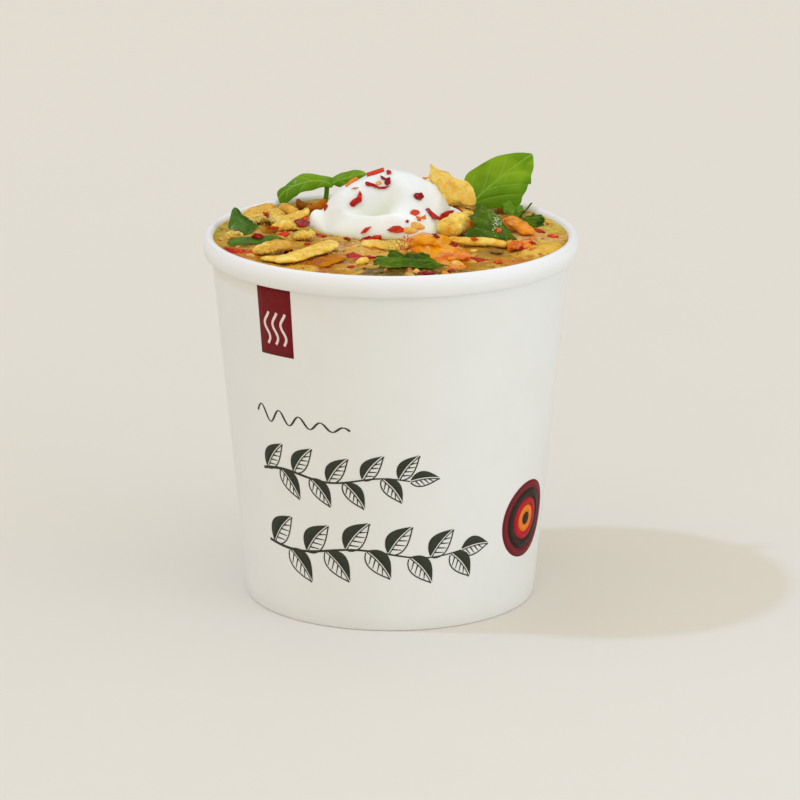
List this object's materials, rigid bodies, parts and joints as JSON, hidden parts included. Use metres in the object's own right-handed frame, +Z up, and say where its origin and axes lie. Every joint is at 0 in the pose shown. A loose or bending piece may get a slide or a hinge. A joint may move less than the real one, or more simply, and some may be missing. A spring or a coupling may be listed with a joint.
{
  "type": "paper pot of roasted vegetable soup",
  "caption": "Tapered paper soup pot with a rolled rim, filled to the brim with vegetable soup topped with yoghurt, crisps, herbs, tomato and chilli flakes.",
  "frame": {"origin": "middle of the pot's foot, on the surface that it stands on", "axes": "+Z up along the pot's axis; -Y is the side that is looked at, with +X to the right of it"},
  "size_m": [0.098, 0.098, 0.1124],
  "materials": {
    "paper": "white coated paper board, satin",
    "soup": "wet, creamy soup with a film of oil",
    "yogurt": "thick moist yoghurt",
    "crisp": "rough, golden, fried",
    "tomato": "wet cut tomato",
    "pepper": "roasted, oily, amber brown",
    "basil": "fresh smooth leaf, light green",
    "coriander": "fresh leaf, dark green"
  },
  "bodies": {
    "root": {"cup": "paper", "soup": "soup", "yogurt": "yogurt", "crisp_right": "crisp", "crisp_strip_right": "crisp", "crisp_strip_front": "crisp", "crisp_mound_left": "crisp", "crisp_crumb_left": "crisp", "crisp_back_strip": "crisp", "crisp_back_left": "crisp", "crisp_back_mid": "crisp", "crisp_side": "crisp", "crisp_side_low": "crisp", "crisp_crescent": "crisp", "crouton_front": "crisp", "crisp_front": "crisp", "crisp_behind_left": "crisp", "crisp_behind_right": "crisp", "crisp_behind_far": "crisp", "crisp_standing": "crisp", "tomato_front": "tomato", "tomato_front_low": "tomato", "tomato_right": "tomato", "tomato_right_low": "tomato", "tomato_behind": "tomato", "tomato_behind_right": "tomato", "pepper_behind": "pepper", "pepper_back_left": "pepper", "pepper_back": "pepper", "pepper_front": "pepper", "mushroom_right": "pepper", "basil_leaf": "basil", "basil_sprig": "basil", "coriander_left": "coriander", "coriander_strip": "coriander", "coriander_front": "coriander", "coriander_right": "coriander", "coriander_back": "coriander", "coriander_behind": "coriander"}
  },
  "joints": []
}
